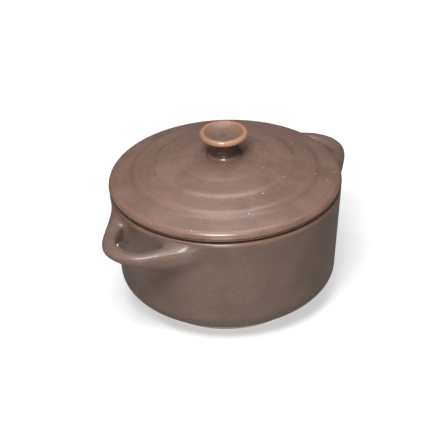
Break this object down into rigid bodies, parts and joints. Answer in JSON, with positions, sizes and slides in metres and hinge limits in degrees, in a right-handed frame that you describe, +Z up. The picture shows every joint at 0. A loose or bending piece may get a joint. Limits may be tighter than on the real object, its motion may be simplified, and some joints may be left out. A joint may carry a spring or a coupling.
{
  "type": "cocotte",
  "caption": "Small round stoneware casserole with two loop handles and a loose ringed lid with a knob, for baking and serving a single portion.",
  "frame": {"origin": "centre of the foot ring, on the surface that the pot stands on", "axes": "+X through the two handles, +Z up along the axis of the bowl"},
  "size_m": [0.13, 0.097, 0.077],
  "materials": {
    "pot_glaze": "satin taupe-brown glaze, bare cream clay on the foot ring",
    "lid_glaze": "satin taupe-brown glaze, breaking to copper on the edges"
  },
  "bodies": {
    "root": {"pot": "pot_glaze", "lid": "lid_glaze"}
  },
  "joints": []
}
